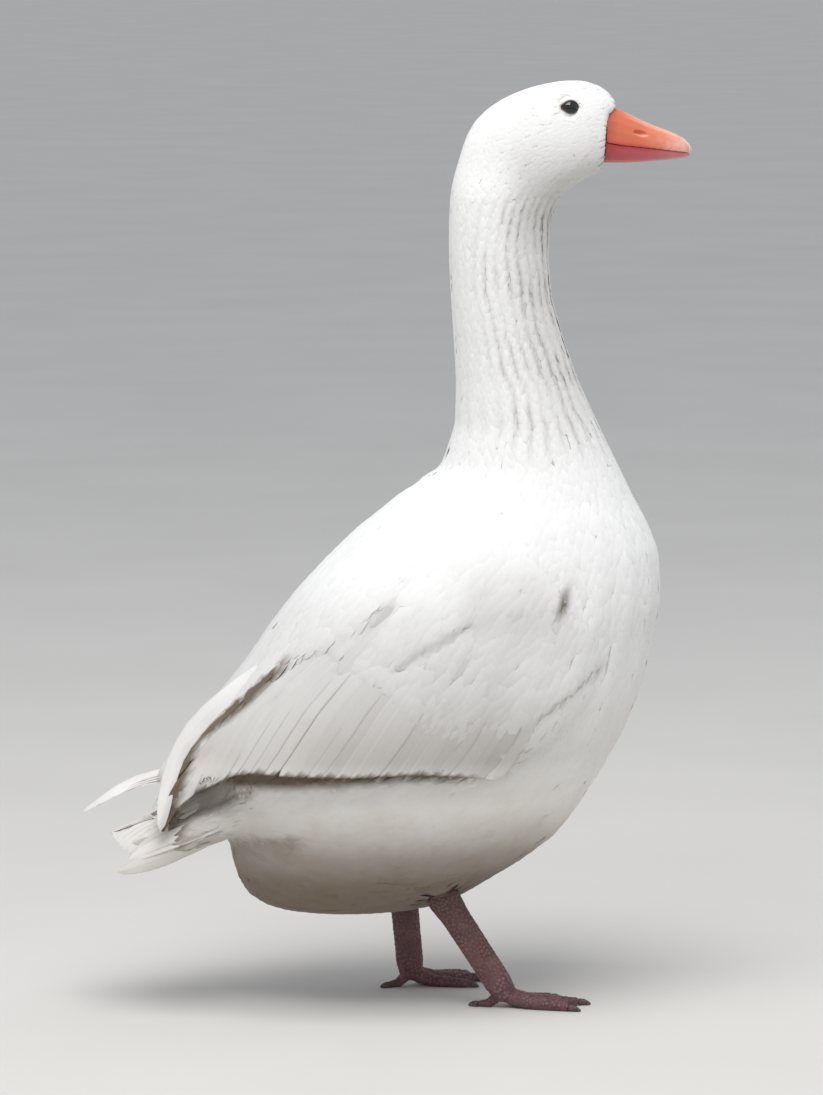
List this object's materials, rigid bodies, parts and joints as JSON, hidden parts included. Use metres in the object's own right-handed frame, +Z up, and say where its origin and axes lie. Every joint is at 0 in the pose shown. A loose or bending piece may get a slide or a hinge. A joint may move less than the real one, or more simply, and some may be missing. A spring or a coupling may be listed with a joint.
{
  "type": "domestic goose",
  "caption": "Standing white domestic goose, life size, neck upright and wings folded, with an orange bill and webbed feet.",
  "frame": {"origin": "on the floor, under the middle of the bird's bounding box", "axes": "+X the way the bird faces, along its bill; +Y to the bird's left; +Z up"},
  "size_m": [0.495, 0.2418, 0.742],
  "materials": {
    "plumage": "matt white body feathers, faintly cream and grey towards the belly",
    "flight_feathers": "matt cream-white flight and tail feathers with pale shafts",
    "bill_horn": "orange horn with a dull satin surface, pinker along the cutting edge",
    "bill_nail": "pale pink horn, slightly polished",
    "eye": "wet dark eye",
    "leg_skin": "scaly dull pink-orange skin, dirty towards the floor",
    "claw_horn": "dull grey-brown horn"
  },
  "bodies": {
    "root": {"head": "plumage", "eye_right": "eye", "eye_left": "eye", "bill_nail": "bill_nail", "bill_upper": "bill_horn", "bill_lower": "bill_horn", "neck": "plumage", "trunk": "plumage", "tertials_right": "flight_feathers", "wing_right": "plumage", "primaries_right": "flight_feathers", "tertials_left": "flight_feathers", "wing_left": "plumage", "primaries_left": "flight_feathers", "tail": "flight_feathers", "thigh_right": "plumage", "foot_right": "leg_skin", "shank_right": "leg_skin", "claw_right_inner": "claw_horn", "claw_right_middle": "claw_horn", "claw_right_outer": "claw_horn", "claw_right_hind": "claw_horn", "thigh_left": "plumage", "foot_left": "leg_skin", "shank_left": "leg_skin", "claw_left_inner": "claw_horn", "claw_left_middle": "claw_horn", "claw_left_outer": "claw_horn", "claw_left_hind": "claw_horn"}
  },
  "joints": []
}
